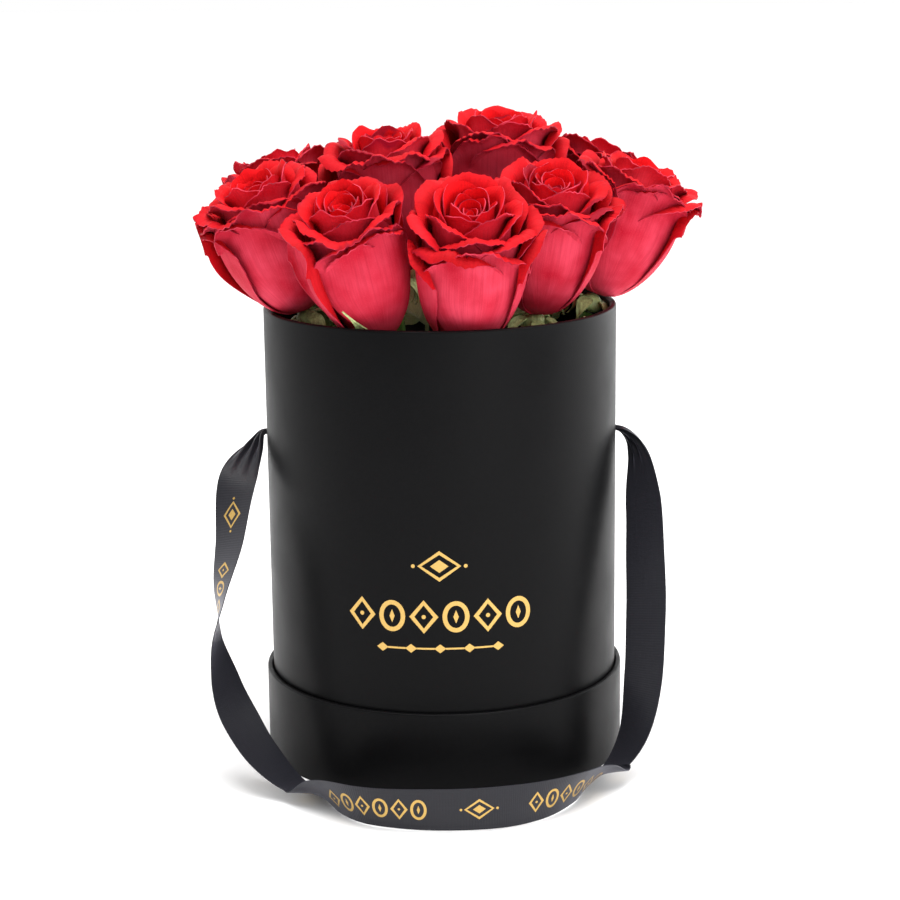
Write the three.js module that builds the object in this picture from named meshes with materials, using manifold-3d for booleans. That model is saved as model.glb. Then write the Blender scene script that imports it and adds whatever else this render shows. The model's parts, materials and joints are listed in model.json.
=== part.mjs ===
// Round flower box: a paper-wrapped board tube that stands in a shallow tray, with a ribbon
// handle knotted through its sides and roses set in floral foam. Millimetres, +Z up.
// The origin is on the tube's axis, on the surface that the tray stands on.
import * as THREE from 'three';
import { mergeVertices } from 'three/addons/utils/BufferGeometryUtils.js';
import Module from 'manifold-3d';

// Tube
const BOX_RADIUS = 80;
const BOX_HEIGHT = 206;
const BOX_BOARD = 2;
const BOX_FLOOR_BOARD = 2;
const PAPER = 0.4;
const GLUE_LINE = 0.05;
const BOX_TURN_IN = 18;
const LIP_ROUND = 0.7;

// Tray
const TRAY_HEIGHT = 39.8;
const TRAY_BOARD = 1.6;
const TRAY_FLOOR_BOARD = 2;
const TRAY_TURN_IN = 14;
const TRAY_FIT = 0.3;
const SEAT_GAP = 0.1;

// Floral foam in its film
const FILM = 0.5;
const FILM_TO_LINING = 1.5;
const FILM_ABOVE_FOAM = 4;
const FOAM_BELOW_RIM = 42.6;
const TOUCH_GAP = 0.3;

// Ribbon
const RIBBON_WIDTH = 19;
const RIBBON_GAUGE = 0.8;
const RIBBON_HOLE_RADIUS = 4.5;
const RIBBON_HOLE_BELOW_RIM = 59;
const GATHERED_GAUGE = 2.6;
const GATHERED_TO_HOLE = 1.1;
const KNOT_RADIUS = 8;
const KNOT_DEPTH = 7.5;
const KNOT_TO_FILM = 0.7;

// Roses
const STEM_RADIUS = 2.4;
const STEM_IN_FOAM = 28;
const STEM_CLEARANCE = 0.3;
const CALYX_RADIUS = 5.5;
const CALYX_HEIGHT = 9;

// Leaves
const LEAF_WIDTH = 20;
const LEAF_LENGTH = 26;
const LEAF_THICKNESS = 1;
const LEAF_STALK_WIDTH = 2.4;
const LEAF_STALK_IN_FOAM = 10;
const LEAF_FROM_WALL = 5;
const LEAF_BELOW_RIM = 2;

// Facets round each kind of piece
const SHELL_FACETS = 60;
const HEAD_FACETS = 16;
const CALYX_FACETS = 12;
const STEM_FACETS = 8;
const ROUND_STEPS = 16;
const RIBBON_STEPS = 76;

// Heights and radii that follow from the sizes above
const BOX_BASE = TRAY_FLOOR_BOARD + SEAT_GAP;
const RIM = BOX_BASE + BOX_HEIGHT;
const BOX_INSIDE = BOX_RADIUS - PAPER - GLUE_LINE - BOX_BOARD - GLUE_LINE - PAPER;
const TRAY_INSIDE = BOX_RADIUS + TRAY_FIT;
const TRAY_RADIUS = TRAY_INSIDE + PAPER + GLUE_LINE + TRAY_BOARD + GLUE_LINE + PAPER;
const BOX_FLOOR_TOP = BOX_BASE + BOX_FLOOR_BOARD;
const FILM_BASE = BOX_FLOOR_TOP + TOUCH_GAP;
const FILM_RADIUS = BOX_INSIDE - FILM_TO_LINING;
const FILM_FLAT = BOX_INSIDE - TOUCH_GAP - KNOT_DEPTH - KNOT_TO_FILM;
const FOAM_RADIUS = FILM_RADIUS - FILM - TOUCH_GAP;
const FOAM_FLAT = FILM_FLAT - FILM - TOUCH_GAP;
const FOAM_LOWER_BASE = FILM_BASE + FILM + TOUCH_GAP;
const FOAM_TOP = RIM - FOAM_BELOW_RIM;
const FOAM_BLOCK_HEIGHT = (FOAM_TOP - FOAM_LOWER_BASE - TOUCH_GAP) / 2;
const FOAM_UPPER_BASE = FOAM_TOP - FOAM_BLOCK_HEIGHT;
const FILM_TOP = FOAM_TOP + FILM_ABOVE_FOAM;
const RIBBON_HOLE_HEIGHT = RIM - RIBBON_HOLE_BELOW_RIM;
const GATHERED_WIDTH = 2 * (RIBBON_HOLE_RADIUS - GATHERED_TO_HOLE);
const LEAF_REACH = BOX_INSIDE - LEAF_FROM_WALL;

// Each rose: the direction from the axis (degrees) and distance (share of the inside radius) of
// the head's base, its height over the rim, the lean and where it leans to (degrees), the head's
// radius and its height. Roses 1 to 5 are the front row, from left to right.
const ROSES = [
  { at: 197.3, out: 0.829, rise: 0.9, lean: 20, toward: 195, radius: 26, height: 62 },
  { at: 239.6, out: 0.692, rise: -7.1, lean: 18, toward: 226, radius: 24.5, height: 64 },
  { at: 282.9, out: 0.639, rise: -10.1, lean: 18, toward: 278, radius: 25.5, height: 67 },
  { at: 334.6, out: 0.617, rise: -1.1, lean: 14, toward: 305, radius: 24.8, height: 62 },
  { at: 4.0, out: 0.923, rise: 2.9, lean: 21, toward: 5, radius: 25.5, height: 62 },
  { at: 150.8, out: 0.877, rise: 2.9, lean: 20, toward: 150, radius: 25.5, height: 62 },
  { at: 180, out: 0.259, rise: 13.9, lean: 4, toward: 190, radius: 25.5, height: 62 },
  { at: 40.4, out: 0.46, rise: 17.9, lean: 3, toward: 60, radius: 26, height: 63 },
  { at: 36.9, out: 0.908, rise: 3.9, lean: 23, toward: 38, radius: 25, height: 62 },
  { at: 114.4, out: 0.755, rise: 5.9, lean: 12, toward: 115, radius: 25, height: 62 },
  { at: 71.8, out: 0.915, rise: 4.9, lean: 15, toward: 80, radius: 25, height: 60 },
];

// Where the leaves stand round the rim, in degrees
const LEAVES = [229, 259, 292, 312, 332, 55, 95, 130];

// The ribbon's way from the left hole round the front to the right one: the direction from the
// axis (degrees), the distance beyond the tray's wall, the fall (0 at the holes, 1 on the
// ground), the way its width points and how far it is spread out of its gathers.
const ROUTE = [
  { at: 180, beyond: -5.6, fall: 0, across: [0, -1, 0.2], spread: 0 },
  { at: 180, beyond: -2.5, fall: 0, across: [0, -1, 0.1], spread: 0 },
  { at: 181, beyond: 1, fall: 0.01, across: [0.1, -1, -0.1], spread: 0.05 },
  { at: 186, beyond: 5.5, fall: 0.05, across: [0.5, -0.8, -0.4], spread: 0.5 },
  { at: 193, beyond: 12, fall: 0.12, across: [0.75, -0.5, -0.4], spread: 0.9 },
  { at: 202, beyond: 20, fall: 0.28, across: [0.65, -0.75, 0], spread: 1 },
  { at: 206, beyond: 28, fall: 0.43, across: [0.3, -0.95, 0], spread: 1 },
  { at: 208, beyond: 31.5, fall: 0.56, across: [-0.1, -1, 0], spread: 1 },
  { at: 210, beyond: 30, fall: 0.68, across: [-0.55, -0.83, 0], spread: 1 },
  { at: 214, beyond: 27, fall: 0.8, across: [-0.72, -0.68, -0.1], spread: 1 },
  { at: 220, beyond: 23, fall: 0.895, across: [-0.65, -0.76, -0.1], spread: 1 },
  { at: 230, beyond: 17.5, fall: 0.985, across: [-0.25, -0.95, 0.1], spread: 1 },
  { at: 241, beyond: 25.5, fall: 1, across: [-0.1, -0.62, 0.77], spread: 1 },
  { at: 253, beyond: 34.5, fall: 1, across: [0, -0.28, 0.96], spread: 1 },
  { at: 267, beyond: 36, fall: 1, across: [0, -0.08, 1], spread: 1 },
  { at: 281, beyond: 36, fall: 1, across: [0, -0.05, 1], spread: 1 },
  { at: 292, beyond: 33, fall: 1, across: [0.05, -0.22, 0.97], spread: 1 },
  { at: 302, beyond: 27, fall: 0.993, across: [0.1, -0.55, 0.83], spread: 1 },
  { at: 312, beyond: 18.5, fall: 0.985, across: [0.15, -0.84, 0.5], spread: 1 },
  { at: 322.5, beyond: 13.5, fall: 0.97, across: [0.3, -0.95, 0.1], spread: 1 },
  { at: 327.5, beyond: 18.5, fall: 0.85, across: [0.6, -0.8, 0], spread: 1 },
  { at: 330, beyond: 20, fall: 0.7, across: [0.85, -0.53, 0], spread: 1 },
  { at: 334, beyond: 18, fall: 0.53, across: [0.88, -0.47, 0], spread: 1 },
  { at: 339, beyond: 14.8, fall: 0.36, across: [0.85, -0.52, 0], spread: 1 },
  { at: 345, beyond: 11.5, fall: 0.2, across: [0.8, -0.6, 0.1], spread: 0.97 },
  { at: 351, beyond: 8, fall: 0.09, across: [0.6, -0.75, 0.3], spread: 0.7 },
  { at: 356, beyond: 4, fall: 0.03, across: [0.3, -0.9, 0.3], spread: 0.25 },
  { at: 360, beyond: -2.5, fall: 0, across: [0, -1, 0.1], spread: 0 },
  { at: 360, beyond: -5.6, fall: 0, across: [0, -1, 0.2], spread: 0 },
];

const wasm = await Module();
wasm.setup();

const paint = (color, roughness) => new THREE.MeshStandardMaterial({ color, roughness, metalness: 0 });
const blackPaper = paint(0x141415, 0.55);
const greyBoard = paint(0x8d8578, 0.9);
const liningPaper = paint(0x1d1c1d, 0.75);
const clearFilm = paint(0xdfe6e2, 0.15);
const wetFoam = paint(0x3f6b42, 0.95);
const blackSatin = paint(0x1a1a1f, 0.35);
const redPetal = paint(0xc4122c, 0.6);
const greenSepal = paint(0x5c8a35, 0.6);
const greenStem = paint(0x4d7a35, 0.6);
const paleLeaf = paint(0xb9c987, 0.6);

const root = new THREE.Group();

function addMesh(parent, name, geometry, material) {
  const mesh = new THREE.Mesh(geometry, material);
  mesh.name = name;
  parent.add(mesh);
  return mesh;
}

function toSolid(geometry) {
  const bare = geometry.clone();
  bare.deleteAttribute('normal');
  bare.deleteAttribute('uv');
  const merged = mergeVertices(bare, 1e-4);
  const vertProperties = new Float32Array(merged.attributes.position.array);
  const triVerts = new Uint32Array(merged.index.array);
  return new wasm.Manifold(new wasm.Mesh({ numProp: 3, vertProperties, triVerts }));
}

function toGeometry(solid) {
  const { vertProperties, triVerts } = solid.getMesh();
  const geometry = new THREE.BufferGeometry();
  geometry.setAttribute('position', new THREE.BufferAttribute(vertProperties, 3));
  geometry.setIndex(new THREE.BufferAttribute(triVerts, 1));
  geometry.computeVertexNormals();
  return geometry;
}

function cutAll(geometry, cutters) {
  let solid = toSolid(geometry);
  for (const cutter of cutters) {
    solid = solid.subtract(toSolid(cutter));
  }
  return toGeometry(solid);
}

// A solid of revolution about Z from [radius, height] pairs
function turned(pairs, facets) {
  const points = pairs.map(([radius, height]) => new THREE.Vector2(radius, height));
  return new THREE.LatheGeometry(points, facets).rotateX(Math.PI / 2);
}

function disc(radius, base, top) {
  return turned([[0, base], [radius, base], [radius, top], [0, top]], SHELL_FACETS);
}

function ring(inner, outer, base, top) {
  const corners = [[inner, base], [outer, base], [outer, top], [inner, top], [inner, base]];
  return turned(corners, SHELL_FACETS);
}

// Paper round the outside of a board wall, folded over its edge and down inside
function foldedWrap(outer, inner, base, top, turnIn) {
  return turned([
    [outer - PAPER, base],
    [outer, base],
    [outer, top - LIP_ROUND],
    [outer - LIP_ROUND, top],
    [inner + LIP_ROUND, top],
    [inner, top - LIP_ROUND],
    [inner, top - turnIn],
    [inner + PAPER, top - turnIn],
    [inner + PAPER, top - PAPER],
    [outer - PAPER, top - PAPER],
    [outer - PAPER, base],
  ], SHELL_FACETS);
}

// The bore through both sides of the tube that the ribbon passes
function ribbonBore() {
  const length = 2 * BOX_RADIUS + 20;
  const bore = new THREE.CylinderGeometry(RIBBON_HOLE_RADIUS, RIBBON_HOLE_RADIUS, length, ROUND_STEPS);
  return bore.rotateZ(Math.PI / 2).translate(0, 0, RIBBON_HOLE_HEIGHT);
}

function buildTray() {
  const boardInner = TRAY_INSIDE + PAPER + GLUE_LINE;
  const boardOuter = boardInner + TRAY_BOARD;
  const wallTop = TRAY_HEIGHT - PAPER - GLUE_LINE;
  addMesh(root, 'tray_floor', disc(boardInner - GLUE_LINE, 0, TRAY_FLOOR_BOARD), greyBoard);
  addMesh(root, 'tray_wall', ring(boardInner, boardOuter, 0, wallTop), greyBoard);
  const wrap = foldedWrap(TRAY_RADIUS, TRAY_INSIDE, 0, TRAY_HEIGHT, TRAY_TURN_IN);
  addMesh(root, 'tray_wrap', wrap, blackPaper);
}

function buildBox() {
  const boardInner = BOX_INSIDE + PAPER + GLUE_LINE;
  const boardOuter = boardInner + BOX_BOARD;
  const wallTop = RIM - PAPER - GLUE_LINE;
  const bore = ribbonBore();
  const tube = ring(boardInner, boardOuter, BOX_BASE, wallTop);
  addMesh(root, 'box_tube', cutAll(tube, [bore]), greyBoard);
  const wrap = foldedWrap(BOX_RADIUS, BOX_INSIDE, BOX_BASE, RIM, BOX_TURN_IN);
  addMesh(root, 'box_wrap', cutAll(wrap, [bore]), blackPaper);
  const liningTop = RIM - BOX_TURN_IN - TOUCH_GAP;
  const lining = ring(BOX_INSIDE, BOX_INSIDE + PAPER, BOX_FLOOR_TOP + SEAT_GAP, liningTop);
  addMesh(root, 'box_lining', cutAll(lining, [bore]), liningPaper);
  addMesh(root, 'box_floor', disc(boardInner - GLUE_LINE, BOX_BASE, BOX_FLOOR_TOP), greyBoard);
}

// A round outline with two flat sides, which leave room for the knots
function flattedOutline(radius, flat) {
  const half = Math.acos(flat / radius);
  const shape = new THREE.Shape();
  shape.absarc(0, 0, radius, half, Math.PI - half, false);
  shape.absarc(0, 0, radius, Math.PI + half, 2 * Math.PI - half, false);
  shape.closePath();
  return shape;
}

function flattedBlock(radius, flat, base, top) {
  const outline = flattedOutline(radius, flat);
  const options = { depth: top - base, bevelEnabled: false, curveSegments: ROUND_STEPS };
  return new THREE.ExtrudeGeometry(outline, options).translate(0, 0, base);
}

function buildFilm() {
  const outside = flattedBlock(FILM_RADIUS, FILM_FLAT, FILM_BASE, FILM_TOP);
  const room = flattedBlock(FILM_RADIUS - FILM, FILM_FLAT - FILM, FILM_BASE + FILM, FILM_TOP + 1);
  addMesh(root, 'liner_film', cutAll(outside, [room]), clearFilm);
}

// A rose's own frame: origin at the base of the head, +Z along the stem
function roseFrame(rose) {
  const at = THREE.MathUtils.degToRad(rose.at);
  const toward = THREE.MathUtils.degToRad(rose.toward);
  const frame = new THREE.Group();
  const reach = rose.out * BOX_INSIDE;
  frame.position.set(reach * Math.cos(at), reach * Math.sin(at), RIM + rose.rise);
  const hinge = new THREE.Vector3(-Math.sin(toward), Math.cos(toward), 0);
  frame.quaternion.setFromAxisAngle(hinge, THREE.MathUtils.degToRad(rose.lean));
  frame.updateMatrixWorld(true);
  return frame;
}

// From the base of the head to the stem's tip, which stands in the foam
function stemReach(rose) {
  const drop = RIM + rose.rise - (FOAM_TOP - STEM_IN_FOAM);
  return drop / Math.cos(THREE.MathUtils.degToRad(rose.lean));
}

function roseHead(rose) {
  const { radius, height } = rose;
  const outline = new THREE.SplineCurve([
    new THREE.Vector2(0.2 * radius, 0),
    new THREE.Vector2(0.62 * radius, 0.11 * height),
    new THREE.Vector2(0.87 * radius, 0.34 * height),
    new THREE.Vector2(0.91 * radius, 0.62 * height),
    new THREE.Vector2(radius, 0.92 * height),
    new THREE.Vector2(0.6 * radius, height),
  ]);
  const side = outline.getPoints(8).map((point) => [point.x, point.y]);
  return turned([[0, 0], ...side, [0, 0.98 * height]], HEAD_FACETS);
}

function roseCalyx() {
  const top = -TOUCH_GAP;
  return turned([
    [0, top - CALYX_HEIGHT],
    [STEM_RADIUS, top - CALYX_HEIGHT],
    [0.95 * CALYX_RADIUS, top - 0.7 * CALYX_HEIGHT],
    [CALYX_RADIUS, top - 0.35 * CALYX_HEIGHT],
    [0.8 * CALYX_RADIUS, top],
    [0, top],
  ], CALYX_FACETS);
}

function stemRod(radius, top, bottom) {
  const rod = new THREE.CylinderGeometry(radius, radius, top - bottom, STEM_FACETS);
  return rod.rotateX(Math.PI / 2).translate(0, 0, (top + bottom) / 2);
}

function stemTop() {
  return -CALYX_HEIGHT - 2 * TOUCH_GAP;
}

function buildRoses() {
  ROSES.forEach((rose, index) => {
    const frame = roseFrame(rose);
    const name = `rose_${index + 1}`;
    addMesh(frame, `${name}_head`, roseHead(rose), redPetal);
    addMesh(frame, `${name}_calyx`, roseCalyx(), greenSepal);
    addMesh(frame, `${name}_stem`, stemRod(STEM_RADIUS, stemTop(), -stemReach(rose)), greenStem);
    root.add(frame);
  });
}

function stemHole(rose) {
  const bottom = -stemReach(rose) - STEM_CLEARANCE;
  const rod = stemRod(STEM_RADIUS + STEM_CLEARANCE, stemTop(), bottom);
  return rod.applyMatrix4(roseFrame(rose).matrixWorld);
}

// A leaf's own frame: origin on the foam's top, X round the rim, Y outwards
function leafMatrix(degrees) {
  const angle = THREE.MathUtils.degToRad(degrees);
  const turn = new THREE.Matrix4().makeRotationZ(angle - Math.PI / 2);
  const x = LEAF_REACH * Math.cos(angle);
  const y = LEAF_REACH * Math.sin(angle);
  return new THREE.Matrix4().makeTranslation(x, y, FOAM_TOP).multiply(turn);
}

function leafOutline() {
  const stalk = LEAF_STALK_WIDTH / 2;
  const tip = RIM - LEAF_BELOW_RIM - FOAM_TOP;
  const base = tip - LEAF_LENGTH;
  const widest = base + 0.45 * LEAF_LENGTH;
  const shape = new THREE.Shape();
  shape.moveTo(-stalk, -LEAF_STALK_IN_FOAM);
  shape.lineTo(stalk, -LEAF_STALK_IN_FOAM);
  shape.lineTo(stalk, base);
  shape.quadraticCurveTo(LEAF_WIDTH / 2, base, LEAF_WIDTH / 2, widest);
  shape.quadraticCurveTo(LEAF_WIDTH / 2, tip - 5, 0, tip);
  shape.quadraticCurveTo(-LEAF_WIDTH / 2, tip - 5, -LEAF_WIDTH / 2, widest);
  shape.quadraticCurveTo(-LEAF_WIDTH / 2, base, -stalk, base);
  shape.closePath();
  return shape;
}

function leafBlade(degrees) {
  const options = { depth: LEAF_THICKNESS, bevelEnabled: false, curveSegments: 5 };
  const blade = new THREE.ExtrudeGeometry(leafOutline(), options);
  blade.rotateX(Math.PI / 2).translate(0, LEAF_THICKNESS / 2, 0);
  return blade.applyMatrix4(leafMatrix(degrees));
}

function leafSlit(degrees) {
  const width = LEAF_STALK_WIDTH + 2 * TOUCH_GAP;
  const thickness = LEAF_THICKNESS + 2 * TOUCH_GAP;
  const depth = LEAF_STALK_IN_FOAM + TOUCH_GAP + 1;
  const slit = new THREE.BoxGeometry(width, thickness, depth);
  slit.translate(0, 0, 1 - depth / 2);
  return slit.applyMatrix4(leafMatrix(degrees));
}

function buildLeaves() {
  LEAVES.forEach((degrees, index) => {
    addMesh(root, `leaf_${index + 1}`, leafBlade(degrees), paleLeaf);
  });
}

function buildFoam() {
  const lowerTop = FOAM_LOWER_BASE + FOAM_BLOCK_HEIGHT;
  const lower = flattedBlock(FOAM_RADIUS, FOAM_FLAT, FOAM_LOWER_BASE, lowerTop);
  const upper = flattedBlock(FOAM_RADIUS, FOAM_FLAT, FOAM_UPPER_BASE, FOAM_TOP);
  const cutters = [...ROSES.map(stemHole), ...LEAVES.map(leafSlit)];
  addMesh(root, 'foam_lower', lower, wetFoam);
  addMesh(root, 'foam_upper', cutAll(upper, cutters), wetFoam);
}

function ribbonStops() {
  return ROUTE.map((stop) => {
    const width = THREE.MathUtils.lerp(GATHERED_WIDTH, RIBBON_WIDTH, stop.spread);
    const across = new THREE.Vector3(...stop.across).setLength(width);
    const angle = THREE.MathUtils.degToRad(stop.at);
    const reach = TRAY_RADIUS + stop.beyond;
    const ground = stop.fall * (RIBBON_GAUGE + Math.abs(across.z) / 2);
    const height = RIBBON_HOLE_HEIGHT * (1 - stop.fall) + ground;
    const centre = new THREE.Vector3(reach * Math.cos(angle), reach * Math.sin(angle), height);
    return { centre, across };
  });
}

// A flat bar bent along the route: X runs along it, Y across it and Z through its gauge
function buildRibbon() {
  const stops = ribbonStops();
  const path = new THREE.CatmullRomCurve3(stops.map((stop) => stop.centre));
  const widths = new THREE.CatmullRomCurve3(stops.map((stop) => stop.across));
  const bar = new THREE.BoxGeometry(1, 1, 1, RIBBON_STEPS, 1, 1);
  const place = bar.attributes.position;
  for (let i = 0; i < place.count; i += 1) {
    const t = THREE.MathUtils.clamp(place.getX(i) + 0.5, 0, 1);
    const along = path.getTangent(t);
    const across = widths.getPoint(t);
    const width = across.length();
    across.addScaledVector(along, -across.dot(along)).setLength(width);
    const gathered = THREE.MathUtils.inverseLerp(RIBBON_WIDTH, GATHERED_WIDTH, width);
    const gauge = THREE.MathUtils.lerp(RIBBON_GAUGE, GATHERED_GAUGE, gathered);
    const through = new THREE.Vector3().crossVectors(along, across).setLength(gauge);
    const point = path.getPoint(t);
    point.addScaledVector(across, place.getY(i));
    point.addScaledVector(through, place.getZ(i));
    place.setXYZ(i, point.x, point.y, point.z);
  }
  addMesh(root, 'ribbon_handle', bar, blackSatin);
}

function knotLump() {
  const half = KNOT_DEPTH / 2;
  return turned([
    [0, -half],
    [0.6 * KNOT_RADIUS, -half],
    [0.95 * KNOT_RADIUS, -0.45 * half],
    [KNOT_RADIUS, 0],
    [0.95 * KNOT_RADIUS, 0.45 * half],
    [0.6 * KNOT_RADIUS, half],
    [0, half],
  ], ROUND_STEPS);
}

function buildKnots() {
  const reach = BOX_INSIDE - TOUCH_GAP - KNOT_DEPTH / 2;
  for (const [name, side] of [['knot_left', -1], ['knot_right', 1]]) {
    const knot = knotLump().rotateY(Math.PI / 2).translate(side * reach, 0, RIBBON_HOLE_HEIGHT);
    addMesh(root, name, knot, blackSatin);
  }
}

buildTray();
buildBox();
buildFilm();
buildFoam();
buildLeaves();
buildRoses();
buildRibbon();
buildKnots();

export default root;
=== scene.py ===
"""The looks of a round flower box: black paper tube in its tray, ribbon handle, eleven red roses."""
import json
import math
import random

import bmesh
import bpy
import numpy as np
from bpy.props import FloatProperty, FloatVectorProperty, IntProperty, PointerProperty
from bpy.types import Operator, Panel, PropertyGroup
from mathutils import Matrix, Vector


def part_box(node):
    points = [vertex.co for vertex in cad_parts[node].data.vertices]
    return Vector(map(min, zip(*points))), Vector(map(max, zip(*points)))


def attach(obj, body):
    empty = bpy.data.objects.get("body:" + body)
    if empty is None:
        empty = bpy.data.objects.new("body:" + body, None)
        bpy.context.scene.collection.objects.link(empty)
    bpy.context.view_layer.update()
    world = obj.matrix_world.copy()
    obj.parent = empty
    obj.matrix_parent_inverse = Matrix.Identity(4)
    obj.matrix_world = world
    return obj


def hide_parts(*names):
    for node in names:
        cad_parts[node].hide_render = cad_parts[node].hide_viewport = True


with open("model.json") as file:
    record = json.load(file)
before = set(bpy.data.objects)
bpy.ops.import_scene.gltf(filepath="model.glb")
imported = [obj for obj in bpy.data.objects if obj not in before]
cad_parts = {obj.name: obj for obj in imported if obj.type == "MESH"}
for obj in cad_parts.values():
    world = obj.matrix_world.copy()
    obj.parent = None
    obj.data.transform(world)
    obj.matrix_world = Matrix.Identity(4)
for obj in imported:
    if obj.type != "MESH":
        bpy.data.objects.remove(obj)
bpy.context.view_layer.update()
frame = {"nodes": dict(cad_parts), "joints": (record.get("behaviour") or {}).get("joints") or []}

bl_info = {
    "name": "Flower Box",
    "version": (1, 0, 0),
    "blender": (4, 5, 0),
    "location": "View3D > Sidebar > Flower Box",
    "description": "Builds a round paper flower box with a ribbon handle and red roses",
    "category": "Add Mesh",
}

MM = 0.001
GOLDEN_TURN = math.radians(137.508)


# ---------------------------------------------------------------- colours and nodes


def linear(hex_colour):
    """An sRGB hex colour as linear red, green, blue and full alpha."""
    parts = [int(hex_colour[i:i + 2], 16) / 255 for i in (1, 3, 5)]
    return tuple(c / 12.92 if c <= 0.04045 else ((c + 0.055) / 1.055) ** 2.4 for c in parts) + (1.0,)


def shade(colour, share):
    """A linear colour with its light times a share."""
    return tuple(min(1.0, c * share) for c in tuple(colour)[:3]) + (1.0,)


def add_node(tree, kind, sockets=None, **settings):
    """Adds a node with its settings; a socket's value is a number, a colour or another node's output."""
    node = tree.nodes.new(kind)
    for key, value in settings.items():
        setattr(node, key, value)
    for key, value in (sockets or {}).items():
        if isinstance(value, bpy.types.NodeSocket):
            tree.links.new(value, node.inputs[key])
        else:
            node.inputs[key].default_value = value
    return node


def new_material(name):
    material = bpy.data.materials.new(name)
    material.use_nodes = True
    material.node_tree.nodes.clear()
    return material, material.node_tree


def close_material(tree, sockets):
    shader = add_node(tree, "ShaderNodeBsdfPrincipled", sockets)
    add_node(tree, "ShaderNodeOutputMaterial", {"Surface": shader.outputs["BSDF"]})


def coordinates(tree, kind="Object", scale=(1, 1, 1)):
    """Object or UV coordinates times a scale."""
    source = add_node(tree, "ShaderNodeTexCoord")
    mapped = add_node(tree, "ShaderNodeMapping", {"Vector": source.outputs[kind], "Scale": scale})
    return mapped.outputs["Vector"]


def noise_of(tree, place, scale, detail=3.0, roughness=0.5):
    node = add_node(tree, "ShaderNodeTexNoise",
                    {"Vector": place, "Scale": scale, "Detail": detail, "Roughness": roughness})
    return node.outputs["Fac"]


def ramp_of(tree, factor, stops):
    """A colour ramp through (place, hex colour) stops."""
    node = add_node(tree, "ShaderNodeValToRGB", {"Fac": factor})
    elements = node.color_ramp.elements
    while len(elements) < len(stops):
        elements.new(0.5)
    for element, (place, colour) in zip(elements, stops):
        element.position = place
        element.color = linear(colour)
    return node.outputs["Color"]


def spread_of(tree, factor, low, high, to_low=0.0, to_high=1.0):
    """Maps low..high of a factor to new ends, clamped."""
    node = add_node(tree, "ShaderNodeMapRange",
                    {"Value": factor, "From Min": low, "From Max": high, "To Min": to_low, "To Max": to_high})
    return node.outputs["Result"]


def mix_of(tree, factor, first, second, blend="MIX"):
    node = add_node(tree, "ShaderNodeMix", {0: factor, 6: first, 7: second},
                    data_type="RGBA", blend_type=blend)
    return node.outputs[2]


def maths(tree, operation, *values):
    """A math node's result from numbers or other nodes' outputs."""
    return add_node(tree, "ShaderNodeMath", dict(enumerate(values)), operation=operation).outputs[0]


def uv_parts(tree):
    """The UV coordinates one by one, as the outputs X, Y and Z."""
    return add_node(tree, "ShaderNodeSeparateXYZ",
                    {"Vector": add_node(tree, "ShaderNodeTexCoord").outputs["UV"]}).outputs


def bump_of(tree, height, distance, strength=1.0):
    node = add_node(tree, "ShaderNodeBump", {"Height": height, "Distance": distance, "Strength": strength})
    return node.outputs["Normal"]


# ---------------------------------------------------------------- finishes


def soft_touch_paper():
    """Matt-laminated black paper: a soft broad shine that turns grey where it is seen edge on."""
    material, tree = new_material("soft_touch_laminated_black_paper")
    place = coordinates(tree)
    cloud = noise_of(tree, place, 45, 2)
    fibre = noise_of(tree, place, 2600, 2)
    colour = mix_of(tree, cloud, shade(colours().paper, 0.8), shade(colours().paper, 1.2))
    rough = spread_of(tree, cloud, 0.3, 0.7, 0.36, 0.44)
    close_material(tree, {
        "Base Color": colour, "Roughness": rough, "Specular IOR Level": 0.07,
        "Normal": bump_of(tree, fibre, 0.00005),
    })
    return material


def grey_board():
    """Recycled grey board, pressed and left raw: dull, with darker and paler fibres."""
    material, tree = new_material("pressed_recycled_grey_board")
    place = coordinates(tree, scale=(1, 1, 3))
    fibre = noise_of(tree, place, 900, 4, 0.7)
    colour = ramp_of(tree, fibre, [(0.25, "#6F685E"), (0.55, "#8D8578"), (0.8, "#A49C8E")])
    close_material(tree, {
        "Base Color": colour, "Roughness": 0.92, "Normal": bump_of(tree, fibre, 0.00008),
    })
    return material


def lining_paper():
    """Uncoated black lining paper: duller than the outside, with a fine tooth."""
    material, tree = new_material("uncoated_black_lining_paper")
    fibre = noise_of(tree, coordinates(tree), 1500, 4, 0.6)
    colour = mix_of(tree, fibre, linear("#141314"), linear("#232224"))
    close_material(tree, {
        "Base Color": colour, "Roughness": 0.8, "Normal": bump_of(tree, fibre, 0.00005),
    })
    return material


def clear_film():
    """Crimped polypropylene film: clear, glossy, slightly milky in its creases."""
    material, tree = new_material("cast_clear_polypropylene_film")
    crease = noise_of(tree, coordinates(tree, scale=(1, 1, 0.3)), 120, 2, 0.4)
    close_material(tree, {
        "Base Color": linear("#F2F8F5"), "Roughness": 0.08, "Transmission Weight": 0.96, "IOR": 1.49,
        "Normal": bump_of(tree, crease, 0.0004),
    })
    return material


def floral_foam():
    """Soaked phenolic flower foam: dark wet green, full of fine open pores, with painted shade in each pore."""
    material, tree = new_material("soaked_phenolic_flower_foam")
    place = coordinates(tree)
    pore_pits_and_shade = add_node(tree, "ShaderNodeTexVoronoi", {"Vector": place, "Scale": 900.0}).outputs["Distance"]
    patch = noise_of(tree, place, 90, 3)
    fresh = mix_of(tree, patch, linear("#2C5433"), linear("#47784A"))
    # The darker green at the middle of each pore is painted shade in the pore.
    colour = mix_of(tree, spread_of(tree, pore_pits_and_shade, 0.2, 0.7), linear("#1C3A22"), fresh)
    close_material(tree, {
        "Base Color": colour, "Roughness": 0.85, "Normal": bump_of(tree, pore_pits_and_shade, 0.0004),
    })
    return material


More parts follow.
